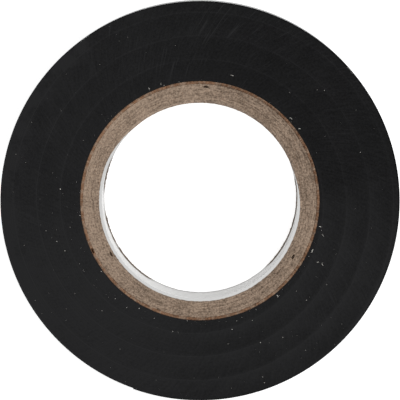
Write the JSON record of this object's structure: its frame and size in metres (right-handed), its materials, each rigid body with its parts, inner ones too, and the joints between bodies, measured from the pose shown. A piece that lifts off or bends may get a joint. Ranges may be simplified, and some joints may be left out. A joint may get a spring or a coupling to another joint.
{
  "type": "electrical tape roll",
  "caption": "Roll of black vinyl electrical tape wound on a paper core, lying flat, with a free end that peels off the outermost turn.",
  "frame": {"origin": "the roll's axis, at the flat face it lies on", "axes": "+Z along the roll's axis, up from the face it lies on; the tape's free end is 250.5 degrees anticlockwise from +X, seen from above"},
  "size_m": [0.0771, 0.0772, 0.019],
  "materials": {
    "black_tape_edge": "dull, the cut edges of the wound turns",
    "black_tape_face": "satin vinyl",
    "white_liner": "smooth white paper",
    "grey_board": "fibrous cut board",
    "brown_kraft": "cut kraft board"
  },
  "bodies": {
    "roll": {"core_liner": "white_liner", "core_board_inner": "grey_board", "core_board_middle": "grey_board", "core_board_outer": "grey_board", "core_kraft_wrap": "brown_kraft", "tape_pack": "black_tape_edge", "outer_turn": "black_tape_face"},
    "free_end_1": {"free_end_1": "black_tape_face"},
    "free_end_2": {"free_end_2": "black_tape_face"},
    "free_end_3": {"free_end_3": "black_tape_face"},
    "free_end_4": {"free_end_4": "black_tape_face"},
    "free_end_5": {"free_end_5": "black_tape_face"},
    "free_end_6": {"free_end_6": "black_tape_face"},
    "free_end_7": {"free_end_7": "black_tape_face"},
    "free_end_8": {"free_end_8": "black_tape_face"}
  },
  "joints": [
    {"name": "peel", "type": "hinge", "parent": "roll", "child": "free_end_1", "pos_m": [0.01843, -0.03395, 0], "axis": [0, 0, 1], "range_deg": [0, 150]},
    {"name": "uncurl_2", "type": "hinge", "parent": "free_end_1", "child": "free_end_2", "pos_m": [0.01478, -0.03569, 0], "axis": [0, 0, 1], "range_deg": [0, 6]},
    {"name": "uncurl_3", "type": "hinge", "parent": "free_end_2", "child": "free_end_3", "pos_m": [0.01097, -0.03704, 0], "axis": [0, 0, 1], "range_deg": [0, 6]},
    {"name": "uncurl_4", "type": "hinge", "parent": "free_end_3", "child": "free_end_4", "pos_m": [0.00704, -0.03799, 0], "axis": [0, 0, 1], "range_deg": [0, 6]},
    {"name": "uncurl_5", "type": "hinge", "parent": "free_end_4", "child": "free_end_5", "pos_m": [0.00303, -0.03852, 0], "axis": [0, 0, 1], "range_deg": [0, 6]},
    {"name": "uncurl_6", "type": "hinge", "parent": "free_end_5", "child": "free_end_6", "pos_m": [-0.00101, -0.03863, 0], "axis": [0, 0, 1], "range_deg": [0, 6]},
    {"name": "uncurl_7", "type": "hinge", "parent": "free_end_6", "child": "free_end_7", "pos_m": [-0.00504, -0.03831, 0], "axis": [0, 0, 1], "range_deg": [0, 6]},
    {"name": "uncurl_8", "type": "hinge", "parent": "free_end_7", "child": "free_end_8", "pos_m": [-0.00902, -0.03758, 0], "axis": [0, 0, 1], "range_deg": [0, 6]}
  ],
  "couplings": [
    {"joint": "uncurl_2", "follows": "peel", "ratio": 0.04},
    {"joint": "uncurl_3", "follows": "peel", "ratio": 0.04},
    {"joint": "uncurl_4", "follows": "peel", "ratio": 0.04},
    {"joint": "uncurl_5", "follows": "peel", "ratio": 0.04},
    {"joint": "uncurl_6", "follows": "peel", "ratio": 0.04},
    {"joint": "uncurl_7", "follows": "peel", "ratio": 0.04},
    {"joint": "uncurl_8", "follows": "peel", "ratio": 0.04}
  ]
}
